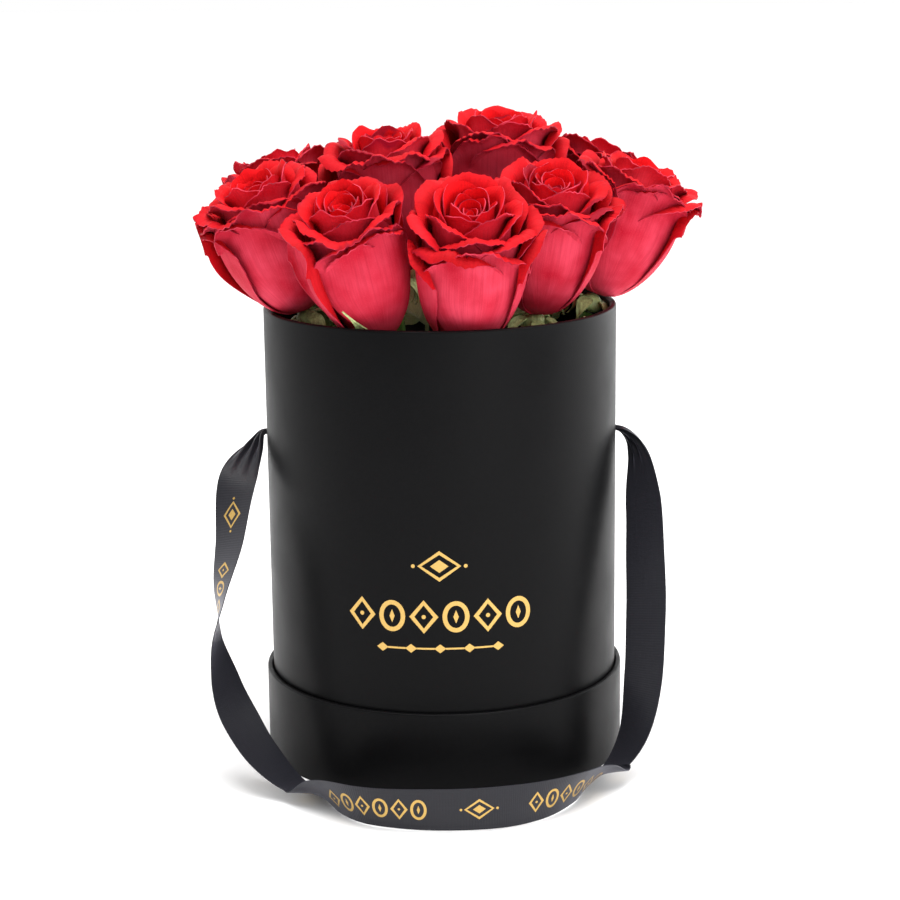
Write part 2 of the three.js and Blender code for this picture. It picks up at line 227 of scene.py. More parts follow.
def black_satin():
    """Woven polyester satin: long floats along the ribbon give a soft shine across it."""
    material, tree = new_material("woven_black_polyester_satin")
    place = coordinates(tree, "UV")
    floats = noise_of(tree, coordinates(tree, "UV", (60, 90, 1)), 1.0, 2, 0.6)
    # Threads are 0.1 mm apart; they are drawn at 0.4 mm, the finest that still shows.
    weft = add_node(tree, "ShaderNodeTexWave", {"Vector": place, "Scale": 210.0, "Distortion": 0.4},
                    bands_direction="X").outputs["Fac"]
    colour = mix_of(tree, floats, shade(colours().ribbon, 0.65), shade(colours().ribbon, 1.35))
    close_material(tree, {
        "Base Color": colour, "Roughness": 0.34, "Specular IOR Level": 0.22, "Anisotropic": 0.4,
        "Sheen Weight": 0.35, "Sheen Roughness": 0.4, "Sheen Tint": linear("#B4B4C8"),
        "Normal": bump_of(tree, weft, 0.00003),
    })
    return material


def gold_foil():
    """Hot-stamped gold foil: bright metal with a faint grain from the paper under it."""
    material, tree = new_material("hot_stamped_gold_foil")
    grain = noise_of(tree, coordinates(tree), 1400, 3)
    colour = mix_of(tree, grain, shade(colours().foil, 0.8), shade(colours().foil, 1.25))
    rough = spread_of(tree, grain, 0.3, 0.7, 0.26, 0.42)
    close_material(tree, {
        "Base Color": colour, "Metallic": 1.0, "Roughness": rough, "Normal": bump_of(tree, grain, 0.00002),
    })
    return material


def petal_cloth(name, deep, bright, edge, edge_from, heart):
    """A petal's skin: fine lengthwise veins, a soft speckle, each petal a little different and
    nearer the heart colour the younger it is."""
    material, tree = new_material(name)
    parts = uv_parts(tree)
    tint = add_node(tree, "ShaderNodeAttribute", attribute_name="petal_tint").outputs["Fac"]
    offset = add_node(tree, "ShaderNodeVectorMath",
                      {0: coordinates(tree, "UV", (64, 3.5, 1)), 1: tint}, operation="ADD").outputs["Vector"]
    veins = noise_of(tree, offset, 1.0, 3, 0.55)
    speckle = noise_of(tree, coordinates(tree), 2200, 2, 0.6)
    patch = noise_of(tree, coordinates(tree), 70, 2, 0.5)
    blend = maths(tree, "MULTIPLY_ADD", patch, tint, -0.22)
    age = add_node(tree, "ShaderNodeAttribute", attribute_name="petal_age").outputs["Fac"]
    body = mix_of(tree, spread_of(tree, patch, 0.3, 0.7), deep, bright)
    body = mix_of(tree, spread_of(tree, age, 0.45, 0.85), heart, body)
    body = mix_of(tree, spread_of(tree, tint, 0.0, 1.0, 0.0, 0.35), body, deep)
    body = mix_of(tree, spread_of(tree, veins, 0.42, 0.68, 0.0, 0.3), body, shade(deep, 0.68))
    body = mix_of(tree, spread_of(tree, speckle, 0.5, 0.75, 0.0, 0.25), body, bright)
    rim = maths(tree, "ADD", parts["Y"], blend)
    body = mix_of(tree, spread_of(tree, rim, edge_from, edge_from + 0.12, 0.0, 0.7), body, edge)
    height = maths(tree, "ADD", veins, speckle)
    close_material(tree, {
        "Base Color": body, "Roughness": 0.6, "Specular IOR Level": 0.06,
        "Sheen Weight": 0.04, "Sheen Roughness": 0.45, "Sheen Tint": linear("#FF6070"),
        "Normal": bump_of(tree, height, 0.00012, 0.8),
    })
    return material


def petal_back():
    """The outside of a petal: pinkish crimson, paler and duller than its inside."""
    heart = shade(colours().petal_heart, 0.8)
    return petal_cloth("fresh_rose_petal_back", tuple(colours().petal_outside_deep),
                       tuple(colours().petal_outside), linear("#8E1030"), 1.18, heart)


def petal_face():
    """The inside of a petal: velvety, deep saturated red."""
    return petal_cloth("fresh_rose_petal_face", tuple(colours().petal_inside_deep),
                       tuple(colours().petal_inside), linear("#6E0C22"), 1.12, tuple(colours().petal_heart))


def petal_rim():
    """The cut edge of a petal: thin, bruised purple in places and pinker in others, where the pink is a painted
    highlight along the edge.
    """
    material, tree = new_material("fresh_rose_petal_rim_bruised_and_painted_highlight")
    bruise_and_highlight = noise_of(tree, coordinates(tree), 130, 3, 0.6)
    # Dark purple is the petal's own bruising; the pink end of the ramp is a painted highlight on the thin edge.
    colour = ramp_of(tree, bruise_and_highlight, [(0.3, "#6E0C24"), (0.5, "#B01C34"), (0.7, "#CC3C54")])
    close_material(tree, {"Base Color": colour, "Roughness": 0.6, "Specular IOR Level": 0.15})
    return material


def green_skin(name, light, rough):
    """Plant skin: waxy green with paler streaks along its growth."""
    material, tree = new_material(name)
    streak = noise_of(tree, coordinates(tree, scale=(1, 1, 0.15)), 700, 3, 0.6)
    patch = noise_of(tree, coordinates(tree), 120, 2)
    dark = shade(light, 0.4)
    colour = mix_of(tree, spread_of(tree, streak, 0.35, 0.7), dark, tuple(light))
    colour = mix_of(tree, spread_of(tree, patch, 0.5, 0.8, 0.0, 0.4), colour, dark)
    close_material(tree, {
        "Base Color": colour, "Roughness": rough, "Specular IOR Level": 0.45,
        "Normal": bump_of(tree, streak, 0.0001),
    })
    return material


def leaf_skin():
    """A leaf in pale yellow green, with paler veins off its midrib; all its colours are painted paler than a
    leaf's own, as painted light in place of the light that the heads shade from it.
    """
    material, tree = new_material("leaf_paled_with_painted_light")
    parts = uv_parts(tree)
    away = maths(tree, "ABSOLUTE", maths(tree, "SUBTRACT", parts["X"], 0.5))
    slant = maths(tree, "MULTIPLY_ADD", away, -0.9, parts["Y"])
    veins = maths(tree, "SINE", maths(tree, "MULTIPLY", slant, 75.0))
    patch = noise_of(tree, coordinates(tree), 160, 3)
    leaf = colours().leaf
    body = mix_of(tree, spread_of(tree, patch, 0.25, 0.75), shade(leaf, 0.75), shade(leaf, 1.15))
    body = mix_of(tree, spread_of(tree, veins, 0.6, 1.0, 0.0, 0.5), body, linear("#EEF2D0"))
    body = mix_of(tree, spread_of(tree, away, 0.0, 0.04, 0.6, 0.0), body, linear("#F4F6DE"))
    close_material(tree, {
        "Base Color": body, "Roughness": 0.5, "Specular IOR Level": 0.4,
        "Normal": bump_of(tree, veins, 0.0001),
    })
    return material


def floor_paint():
    """Seamless white background card: dead matt, with the faintest mottle."""
    material, tree = new_material("matt_white_background_card")
    mottle = noise_of(tree, coordinates(tree), 8, 2)
    close_material(tree, {
        "Base Color": mix_of(tree, mottle, shade(colours().floor, 0.96), tuple(colours().floor)),
        "Roughness": 1.0, "Specular IOR Level": 0.0,
    })
    return material


FINISHES = {
    "soft_touch_paper": soft_touch_paper, "grey_board": grey_board, "lining_paper": lining_paper,
    "clear_film": clear_film, "floral_foam": floral_foam, "black_satin": black_satin,
    "gold_foil": gold_foil, "petal_back": petal_back, "petal_face": petal_face, "petal_rim": petal_rim,
    # The calyx colour it gets is painted paler, as painted light for the shade under the heads.
    "calyx_skin": lambda: green_skin("fresh_rose_calyx", colours().calyx, 0.5),
    "stem_skin": lambda: green_skin("fresh_rose_stem", colours().stem, 0.45),
    "leaf_skin": leaf_skin, "floor_paint": floor_paint,
}
made_finishes = {}


def finish(name):
    if name not in made_finishes:
        made_finishes[name] = FINISHES[name]()
    return made_finishes[name]


# ---------------------------------------------------------------- shared steps in modelling


def clear_selection():
    if bpy.context.object and bpy.context.object.mode != "OBJECT":
        bpy.ops.object.mode_set(mode="OBJECT")
    bpy.ops.object.select_all(action="DESELECT")


def fresh(name):
    """The primitive just added, under its own name."""
    piece = bpy.context.object
    piece.name = name
    piece.data.name = name
    return piece


def points_of(mesh):
    flat = np.empty(len(mesh.vertices) * 3)
    mesh.vertices.foreach_get("co", flat)
    return flat.reshape(-1, 3)


def place_points(mesh, points):
    mesh.vertices.foreach_set("co", np.ascontiguousarray(points).ravel())
    mesh.update()


def edit(piece, *steps):
    """Runs mesh operators on the whole of a piece in edit mode; each step is a function."""
    clear_selection()
    piece.select_set(True)
    bpy.context.view_layer.objects.active = piece
    bpy.ops.object.mode_set(mode="EDIT")
    bpy.ops.mesh.select_all(action="SELECT")
    for step in steps:
        step()
    bpy.ops.object.mode_set(mode="OBJECT")


def weld(distance=0.00001):
    bpy.ops.mesh.remove_doubles(threshold=distance)


def face_out():
    bpy.ops.mesh.normals_make_consistent(inside=False)


def modify(piece, kind, **settings):
    """Adds a modifier and applies it at once."""
    bpy.context.view_layer.objects.active = piece
    modifier = piece.modifiers.new(kind.title(), kind)
    for key, value in settings.items():
        setattr(modifier, key, value)
    bpy.ops.object.modifier_apply(modifier=modifier.name)


def smooth(piece, angle=40):
    clear_selection()
    piece.select_set(True)
    bpy.context.view_layer.objects.active = piece
    bpy.ops.object.shade_smooth_by_angle(angle=math.radians(angle))


def joined(pieces, name):
    clear_selection()
    for piece in pieces:
        piece.select_set(True)
    bpy.context.view_layer.objects.active = pieces[0]
    if len(pieces) > 1:
        bpy.ops.object.join()
    return fresh(name)


def copy_of(piece, name):
    twin = bpy.data.objects.new(name, piece.data.copy())
    twin.data.name = name
    bpy.context.collection.objects.link(twin)
    return twin


def settle(piece, body, finish_name=None, replaces=()):
    """Says what a finished piece rides on and what it stands for."""
    if finish_name:
        piece.data.materials.clear()
        piece.data.materials.append(finish(finish_name))
    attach(piece, body)
    if replaces:
        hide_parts(*replaces)


def ease(value):
    """Smooth step from 0 to 1."""
    value = np.clip(value, 0.0, 1.0)
    return value * value * (3 - 2 * value)


def drawn_out(name, outline, sides, *closing, fill="NOTHING"):
    """A circle drawn out ring by ring through (radius, height) pairs, then closed by mesh steps."""
    clear_selection()
    bpy.ops.mesh.primitive_circle_add(vertices=sides, radius=outline[0][0], fill_type=fill)
    piece = fresh(name)
    bpy.ops.object.mode_set(mode="EDIT")
    bpy.ops.mesh.select_all(action="SELECT")
    for index, (radius, height) in enumerate(outline):
        if index:
            bpy.ops.mesh.extrude_region_move()
        mesh = bmesh.from_edit_mesh(piece.data)
        for vert in (v for v in mesh.verts if v.select):
            flat = Vector((vert.co.x, vert.co.y, 0)).normalized() * radius
            vert.co = (flat.x, flat.y, height)
    bmesh.update_edit_mesh(piece.data)
    bpy.ops.mesh.select_all(action="SELECT")
    for step in closing:
        step()
    bpy.ops.object.mode_set(mode="OBJECT")
    return piece


def turned_shell(name, outline, sides):
    """A closed wall of revolution."""
    return drawn_out(name, outline, sides, weld, face_out)


def grid(name, columns, rows):
    """A flat grid from -1 to 1 with its own UV map, to be shaped by its points."""
    clear_selection()
    bpy.ops.mesh.primitive_grid_add(x_subdivisions=columns, y_subdivisions=rows, size=2, calc_uvs=True)
    return fresh(name)


# ---------------------------------------------------------------- settings


def length(name, description, default):
    return FloatProperty(name=name, description=description, default=default, unit="LENGTH")


def tone(name, description, default):
    return FloatVectorProperty(name=name, description=description, subtype="COLOR", size=4,
                               default=linear(default))


class FlowerBoxSizes(PropertyGroup):
    """Sizes that a user may change."""
    paper: length("Paper", "Thickness of the covering paper", 0.4 * MM)
    lip_round: length("Lip Rounding", "Radius of the paper's fold over the rim", 1.2 * MM)
    turn_in: length("Turn-in", "How far the paper reaches down inside the rim", 18 * MM)
    hole: length("Ribbon Hole", "Radius of the holes that the ribbon goes through", 4.5 * MM)
    foil: length("Foil", "Height of the gold foil over the paper", 0.07 * MM)
    ribbon: length("Ribbon", "Thickness of the satin ribbon", 0.4 * MM)
    petal: length("Petal", "Thickness of a petal", 0.45 * MM)
    petals: IntProperty(name="Petals", description="Petals in one rose, without its guard petals", default=30)
    sides: IntProperty(name="Sides", description="Facets round the tube and the tray", default=240)


class FlowerBoxColours(PropertyGroup):
    """Colours that a user may change."""
    paper: tone("Paper", "Covering paper of the tube and the tray", "#0B0B0C")
    ribbon: tone("Ribbon", "Satin of the ribbon handle", "#212126")
    foil: tone("Foil", "Metal foil of the ornaments", "#C09E5C")
    petal_heart: tone("Petal Heart", "Young petals in a rose's heart", "#E40C14")
    petal_inside: tone("Petal Inside", "Inner side of the open petals", "#CC1622")
    petal_inside_deep: tone("Petal Inside, Deep", "Darker patches of the inner side", "#A80C14")
    petal_outside: tone("Petal Outside", "Outer side of the open petals", "#D8445A")
    petal_outside_deep: tone("Petal Outside, Deep", "Darker patches of the outer side", "#B6182E")
    # The leaf colour is painted paler than the leaf's own green: painted light for the shade under the heads.
    leaf: tone("Leaf", "Leaves round the rim", "#E2EAB0")
    # The calyx colour is painted paler than the sepals' own green: painted light for the shade under the heads.
    calyx: tone("Calyx", "Sepals under the roses", "#CCDC94")
    stem: tone("Stem", "Rose stems and their thorns", "#5F8A38")
    floor: tone("Floor", "Background card", "#FFFFFF")


def sizes():
    return bpy.context.scene.flower_box_sizes


def colours():
    return bpy.context.scene.flower_box_colours


# ---------------------------------------------------------------- tube and tray


def rounded_wall(outer, inner, base, top, turn_in, paper, lip):
    """Outline of paper folded over a wall's edge: up the outside, round the lip, down inside."""
    outline = [(outer - paper, base), (outer, base), (outer, base + 0.3 * (top - base)),
               (outer, base + 0.7 * (top - base))]
    for step in range(6):
        angle = math.pi / 2 * step / 5
        outline.append((outer - lip + lip * math.cos(angle), top - lip + lip * math.sin(angle)))
    for step in range(6):
        angle = math.pi / 2 * (1 - step / 5)
        outline.append((inner + lip - lip * math.cos(angle), top - lip + lip * math.sin(angle)))
    outline += [(inner, top - turn_in), (inner + paper, top - turn_in),
                (inner + paper, top - paper), (outer - paper, top - paper), (outer - paper, base)]
    return outline


def lap_paper(piece, outer, start, lap, step):
    """Lets the outside of a wrap lap over itself: a strip a little proud, with a sharp edge each side."""
    points = points_of(piece.data)
    turn = np.degrees(np.arctan2(points[:, 1], points[:, 0])) % 360
    radius = np.hypot(points[:, 0], points[:, 1])
    outside = radius > outer - 0.00002
    inside_lap = outside & (turn > start) & (turn < start + lap)
    scale = np.where(inside_lap, (radius + step) / np.maximum(radius, 1e-9), 1.0)
    points[:, :2] *= scale[:, None]
    sharp = 0.12
    pitch = 360 / sizes().sides
    for edge, side in ((start, 1), (start + lap, -1)):
        near = outside & (np.abs(turn - (edge - side * pitch / 2)) < pitch / 2)
        move = math.radians(side * (pitch - sharp))
        x, y = points[near, 0].copy(), points[near, 1].copy()
        points[near, 0] = x * math.cos(move) - y * math.sin(move)
        points[near, 1] = x * math.sin(move) + y * math.cos(move)
    place_points(piece.data, points)


def pucker_lip(piece, top, depth, amount, seed):
    """Small folds where the paper turns over the lip, strongest at two sides."""
    points = points_of(piece.data)
    turn = np.arctan2(points[:, 1], points[:, 0])
    rng = random.Random(seed)
    fold = np.zeros(len(points))
    for waves in (23, 37, 61, 88):
        fold += np.sin(waves * turn + rng.uniform(0, 6.28)) / 4
    where = ease((points[:, 2] - (top - depth)) / depth) * (0.25 + 0.75 * np.cos(turn) ** 4)
    points[:, 2] -= amount * where * np.maximum(fold, 0)
    points[:, :2] *= (1 - 0.4 * amount * where * np.maximum(-fold, 0) / 0.08)[:, None]
    place_points(piece.data, points)


class FLOWERBOX_OT_tube_paper(Operator):
    """Covers the tube in black paper, lapped at the back and folded over the rim"""
    bl_idname = "flowerbox.tube_paper"
    bl_label = "Tube Paper"

    def execute(self, context):
        low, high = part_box("box_wrap")
        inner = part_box("box_lining")[1].x - sizes().paper
        outline = rounded_wall(high.x, inner, low.z, high.z, sizes().turn_in, sizes().paper,
                               sizes().lip_round)
        piece = turned_shell("tube_paper", outline, sizes().sides)
        lap_paper(piece, high.x, 84, 9, 0.25 * MM)
        pucker_lip(piece, high.z, sizes().lip_round, 0.12 * MM, 5)
        bore_holes(piece, high.x)
        smooth(piece, 35)
        settle(piece, "box", "soft_touch_paper", ["box_wrap"])
        return {"FINISHED"}


def bore_holes(piece, reach):
    """Cuts the two ribbon holes through the sides."""
    knots = [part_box(name) for name in ("knot_left", "knot_right")]
    height = sum((low.z + high.z) / 2 for low, high in knots) / 2
    clear_selection()
    bpy.ops.mesh.primitive_cylinder_add(vertices=48, radius=sizes().hole, depth=2.4 * reach,
                                        location=(0, 0, height), rotation=(0, math.pi / 2, 0))
    cutter = fresh("hole_cutter")
    modify(piece, "BOOLEAN", operation="DIFFERENCE", object=cutter, solver="EXACT")
    bpy.data.objects.remove(cutter)


class FLOWERBOX_OT_tray_paper(Operator):
    """Covers the tray in the same paper, with small folds where it turns over the lip"""
    bl_idname = "flowerbox.tray_paper"
    bl_label = "Tray Paper"

    def execute(self, context):
        low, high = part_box("tray_wrap")
        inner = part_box("tray_floor")[1].x - sizes().paper
        outline = rounded_wall(high.x, inner, low.z, high.z, sizes().turn_in - 4 * MM, sizes().paper,
                               0.75 * sizes().lip_round)
        piece = turned_shell("tray_paper", outline, sizes().sides)
        lap_paper(piece, high.x, 66, 9, 0.25 * MM)
        pucker_lip(piece, high.z, 1.6 * MM, 0.35 * MM, 8)
        smooth(piece, 35)
        settle(piece, "tray", "soft_touch_paper", ["tray_wrap"])
        return {"FINISHED"}


class FLOWERBOX_OT_boards(Operator):
    """Gives the boards, the lining, the film and the foam their finishes"""
    bl_idname = "flowerbox.boards"
    bl_label = "Boards, Lining, Film and Foam"

    def execute(self, context):
        chosen = {"tray_floor": "grey_board", "tray_wall": "grey_board", "box_tube": "grey_board",
                  "box_floor": "grey_board", "box_lining": "lining_paper", "liner_film": "clear_film",
                  "foam_lower": "floral_foam", "foam_upper": "floral_foam"}
        for node, name in chosen.items():
            for slot in frame["nodes"][node].material_slots:
                slot.material = finish(name)
        return {"FINISHED"}


# ---------------------------------------------------------------- gold ornaments


FRIEZE_UNITS = 6


def subdivided(cuts):
    return lambda: bpy.ops.mesh.subdivide(number_cuts=cuts)


def hollow_shape(name, corners, width, height, stroke, cuts):
    """A flat ring in the outline of a regular figure with its first corner to the right."""
    clear_selection()
    bpy.ops.mesh.primitive_circle_add(vertices=corners, radius=1, fill_type="NOTHING")
    piece = fresh(name)
    place_points(piece.data, points_of(piece.data) * [width / 2, height / 2, 1])

    def draw_in():
        bpy.ops.mesh.extrude_region_move()
        bpy.ops.transform.resize(value=(1 - 2 * stroke / width, 1 - 2 * stroke / height, 1))

    edit(piece, draw_in, lambda: bpy.ops.mesh.select_all(action="SELECT"), subdivided(cuts))
    return piece


def solid_shape(name, corners, width, height, cuts):
    clear_selection()
    bpy.ops.mesh.primitive_circle_add(vertices=corners, radius=1, fill_type="TRIFAN")
    piece = fresh(name)
    place_points(piece.data, points_of(piece.data) * [width / 2, height / 2, 1])
    edit(piece, subdivided(cuts))
    return piece


def rule(name, width, height):
    piece = grid(name, max(2, int(width / (2 * MM))), 1)
    place_points(piece.data, points_of(piece.data) * [width / 2, height / 2, 1])
    return piece


def move_flat(piece, across, up):
    place_points(piece.data, points_of(piece.data) + [across, up, 0])
    return piece


def medallion(width):
    """Nested lozenges with a dot each side."""
    height = 0.72 * width
    return [
        hollow_shape("lozenge", 4, width, height, 0.09 * width, 3),
        solid_shape("heart_lozenge", 4, 0.42 * width, 0.42 * height, 2),
        move_flat(solid_shape("dot", 16, 0.09 * width, 0.09 * width, 0), -0.6 * width, 0),
        move_flat(solid_shape("dot", 16, 0.09 * width, 0.09 * width, 0), 0.6 * width, 0),
    ]


def frieze(width, height, units):
    """A row of tall lozenges and rings, each with its own heart."""
    pitch = width / units
    pieces = []
    for index in range(units):
        across = (index - (units - 1) / 2) * pitch
        wide = 0.84 * pitch
        if index % 2:
            shapes = [hollow_shape("ring", 32, wide, 0.94 * height, 0.17 * wide, 0),
                      solid_shape("heart", 4, 0.2 * wide, 0.4 * height, 1)]
        else:
            shapes = [hollow_shape("lozenge", 4, 1.08 * wide, height, 0.19 * wide, 3),
                      solid_shape("heart", 16, 0.16 * wide, 0.16 * wide, 0)]
        pieces += [move_flat(shape, across, 0) for shape in shapes]
    return pieces


def dashed_rule(width, height, units):
    """Thin rules between small lozenges."""
    pitch = width / units
    pieces = []
    for index in range(units + 1):
        across = (index - units / 2) * pitch
        pieces.append(move_flat(solid_shape("lozenge", 4, 1.3 * height, height, 1), across, 0))
    for index in range(units):
        across = (index - (units - 1) / 2) * pitch
        pieces.append(move_flat(rule("rule", 0.62 * pitch, 0.2 * height), across, 0))
    return pieces


def foil_from(shapes, name, bend):
    """Joins flat shapes, bends them onto their surface and gives them the foil's height."""
    piece = joined(shapes, name)
    place_points(piece.data, bend(points_of(piece.data)))
    edit(piece, weld)
    modify(piece, "SOLIDIFY", thickness=sizes().foil, offset=1.0)
    smooth(piece, 30)
    return piece


class FLOWERBOX_OT_tube_foil(Operator):
    """Stamps a plain gold ornament on the front of the tube: medallion, frieze and dashed rule"""
    bl_idname = "flowerbox.tube_foil"
    bl_label = "Tube Foil"

    def execute(self, context):
        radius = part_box("box_wrap")[1].x + 0.02 * MM
        rows = {"foil_medallion": (medallion(19 * MM), 106),
                "foil_frieze": (frieze(84 * MM, 15 * MM, FRIEZE_UNITS), 83.3),
                "foil_rule": (dashed_rule(51 * MM, 4 * MM, 4), 69)}
        for name, (shapes, height) in rows.items():
            def bend(points, height=height * MM):
                turn = points[:, 0] / radius - math.pi / 2 - 0.02
                return np.stack([radius * np.cos(turn), radius * np.sin(turn), points[:, 1] + height], 1)
            piece = foil_from(shapes, name, bend)
            settle(piece, "box", "gold_foil")
        return {"FINISHED"}


# ---------------------------------------------------------------- ribbon


RIBBON_WIDTH = 19 * MM
GATHERED_WIDTH = 6.8 * MM
HOLE_HEIGHT = 149.1 * MM
TRAY_RADIUS = 82.8 * MM
RIBBON_GAUGE = 0.8 * MM
# Medallions (m) and friezes (f) one pitch apart, from the left hole on. A frieze is longer than
# the pitch, so the second and the third print overlap by about 2 mm beside the ribbon's twist.
PRINT_ORDER = "mffmfmfmfm"
PRINT_FIRST = 52 * MM
PRINT_PITCH = 46.6 * MM
PRINT_MEDALLION = 13 * MM
PRINT_FRIEZE = (50 * MM, 10 * MM)

# The ribbon's way from the left hole round the front to the right one: direction from the axis
# (degrees), distance beyond the tray (mm), fall (0 at the holes, 1 on the floor), the way its
# width points and how far it is spread out of its gathers.
RIBBON_WAY = [
    (180, -5.6, 0, (0, -1, 0.2), 0), (180, -2.5, 0, (0, -1, 0.1), 0),
    (181, 1, 0.01, (0.1, -1, -0.1), 0.05), (186, 5.5, 0.05, (0.5, -0.8, -0.4), 0.5),
    (193, 12, 0.12, (0.75, -0.5, -0.4), 0.9), (202, 20, 0.28, (0.65, -0.75, 0), 1),
    (206, 28, 0.43, (0.3, -0.95, 0), 1), (208, 31.5, 0.56, (-0.1, -1, 0), 1),
    (210, 30, 0.68, (-0.55, -0.83, 0), 1), (214, 27, 0.8, (-0.72, -0.68, -0.1), 1),
    (220, 23, 0.895, (-0.65, -0.76, -0.1), 1), (230, 17.5, 0.985, (-0.25, -0.95, 0.1), 1),
    (241, 25.5, 1, (-0.1, -0.62, 0.77), 1), (253, 34.5, 1, (0, -0.28, 0.96), 1),
    (267, 36, 1, (0, -0.08, 1), 1), (281, 36, 1, (0, -0.05, 1), 1),
    (292, 33, 1, (0.05, -0.22, 0.97), 1), (302, 27, 0.993, (0.1, -0.55, 0.83), 1),
    (312, 18.5, 0.985, (0.15, -0.84, 0.5), 1), (322.5, 13.5, 0.97, (0.3, -0.95, 0.1), 1),
    (327.5, 18.5, 0.85, (0.6, -0.8, 0), 1), (330, 20, 0.7, (0.85, -0.53, 0), 1),
    (334, 18, 0.53, (0.88, -0.47, 0), 1), (339, 14.8, 0.36, (0.85, -0.52, 0), 1),
    (345, 11.5, 0.2, (0.8, -0.6, 0.1), 0.97), (351, 8, 0.09, (0.6, -0.75, 0.3), 0.7),
    (356, 4, 0.03, (0.3, -0.9, 0.3), 0.25), (360, -2.5, 0, (0, -1, 0.1), 0),
    (360, -5.6, 0, (0, -1, 0.2), 0),
]


def smooth_path(stops, where):
    """Centripetal Catmull-Rom curve through the stops, at shares 0..1 with even steps per stop."""
    first, last = 2 * stops[0] - stops[1], 2 * stops[-1] - stops[-2]
    line = np.vstack([first, stops, last])
    place = np.clip(where, 0, 1) * (len(stops) - 1)
    index = np.minimum(place.astype(int), len(stops) - 2)
    weight = (place - index)[:, None]
    a, b, c, d = (line[index + step] for step in range(4))
    gaps = [np.maximum(np.linalg.norm(q - p, axis=1), 1e-9) ** 0.5 for p, q in ((a, b), (b, c), (c, d))]
    before, here, after = (gap[:, None] for gap in gaps)
    start = ((b - a) / before - (c - a) / (before + here) + (c - b) / here) * here
    end = ((c - b) / here - (d - b) / (here + after) + (d - c) / after) * here
    w2, w3 = weight ** 2, weight ** 3
    return b * (2 * w3 - 3 * w2 + 1) + start * (w3 - 2 * w2 + weight) + c * (3 * w2 - 2 * w3) + end * (w3 - w2)


def unit(rows):
    return rows / np.linalg.norm(rows, axis=1)[:, None]


class RibbonFrame:
    """The ribbon's middle line and its directions, by the share of the way along it."""

    def __init__(self):
        centres, acrosses = [], []
        for at, beyond, fall, across, spread in RIBBON_WAY:
            width = GATHERED_WIDTH + (RIBBON_WIDTH - GATHERED_WIDTH) * spread
            across = np.array(across) / np.linalg.norm(across) * width
            angle = math.radians(at)
            reach = TRAY_RADIUS + beyond * MM
            height = HOLE_HEIGHT * (1 - fall) + fall * (RIBBON_GAUGE + abs(across[2]) / 2)
            centres.append((reach * math.cos(angle), reach * math.sin(angle), height))
            acrosses.append(across)
        self.centres, self.acrosses = np.array(centres), np.array(acrosses)
        shares = np.linspace(0, 1, 4001)
        steps = np.linalg.norm(np.diff(smooth_path(self.centres, shares), axis=0), axis=1)
        self.shares, self.lengths = shares, np.concatenate([[0], np.cumsum(steps)])
        self.length = self.lengths[-1]

    def at(self, shares):
        """Middle, along, across (unit) and outward directions, and width, at shares of the way."""
        middle = smooth_path(self.centres, shares)
        along = unit(smooth_path(self.centres, shares + 1e-4) - smooth_path(self.centres, shares - 1e-4))
        across = smooth_path(self.acrosses, shares)
        width = np.linalg.norm(across, axis=1)
        across = unit(across - along * np.sum(across * along, axis=1)[:, None])
        return middle, along, across, np.cross(along, across), width

    def points(self, shares, sides, lift=0.0):
        """Points of the cloth: sides runs -1..1 from edge to edge; gathers fold it near the holes."""
        middle, along, across, outward, width = self.at(shares)
        gathered = ease((RIBBON_WIDTH - width) / (RIBBON_WIDTH - GATHERED_WIDTH) * 1.3)
        pleats = 3
        spare = np.maximum(RIBBON_WIDTH / width - 1, 0)
        deep = np.minimum(width / (pleats * math.pi) * np.sqrt(spare) * 1.1, 1.15 * MM) * gathered
        fold = deep * np.sin(pleats * math.pi * sides + 0.6)
        way = shares * self.length
        sway = 0.25 * MM * np.sin(way / (11 * MM)) + 0.15 * MM * np.sin(way / (4.3 * MM) + 1)
        cup = 0.45 * MM * (sides ** 2 - 0.4) * np.cos(way / (60 * MM)) * (1 - gathered)
        edge_wave = 0.18 * MM * sides * np.sin(way / (7 * MM) + 2) * (1 - gathered)
        calm = ease((middle[:, 2] - 6 * MM) / (20 * MM))
        off = fold + (sway + cup + edge_wave) * calm + lift
        return middle + across * (sides * width / 2)[:, None] + outward * off[:, None]


def on_ribbon(route, start):
    """Maps flat shapes (x along the ribbon, y across it) to the printed side from a length on."""
    def bend(points):
        way = np.interp(start + points[:, 0], route.lengths, route.shares)
        width = route.at(way)[4]
        return route.points(way, 2 * points[:, 1] / width, sizes().ribbon / 2 + 0.03 * MM)
    return bend


class FLOWERBOX_OT_ribbon(Operator):
    """Runs the satin ribbon from hole to hole, gathered at both ends"""
    bl_idname = "flowerbox.ribbon"
    bl_label = "Ribbon"

    def execute(self, context):
        route = RibbonFrame()
        piece = grid("ribbon", 720, 30)
        flat = points_of(piece.data)
        place_points(piece.data, route.points((flat[:, 0] + 1) / 2, flat[:, 1]))
        modify(piece, "SOLIDIFY", thickness=sizes().ribbon, offset=0.0)
        smooth(piece, 50)
        settle(piece, "handle", "black_satin", ["ribbon_handle"])
        return {"FINISHED"}


class FLOWERBOX_OT_ribbon_foil(Operator):
    """Prints the same gold ornaments along one side of the ribbon"""
    bl_idname = "flowerbox.ribbon_foil"
    bl_label = "Ribbon Foil"

    def execute(self, context):
        route = RibbonFrame()
        pieces = []
        for index, kind in enumerate(PRINT_ORDER):
            shapes = medallion(PRINT_MEDALLION) if kind == "m" else frieze(*PRINT_FRIEZE, FRIEZE_UNITS)
            start = PRINT_FIRST + index * PRINT_PITCH
            pieces.append(foil_from(shapes, "print", on_ribbon(route, start)))
        piece = joined(pieces, "ribbon_foil")
        settle(piece, "handle", "gold_foil")
        return {"FINISHED"}


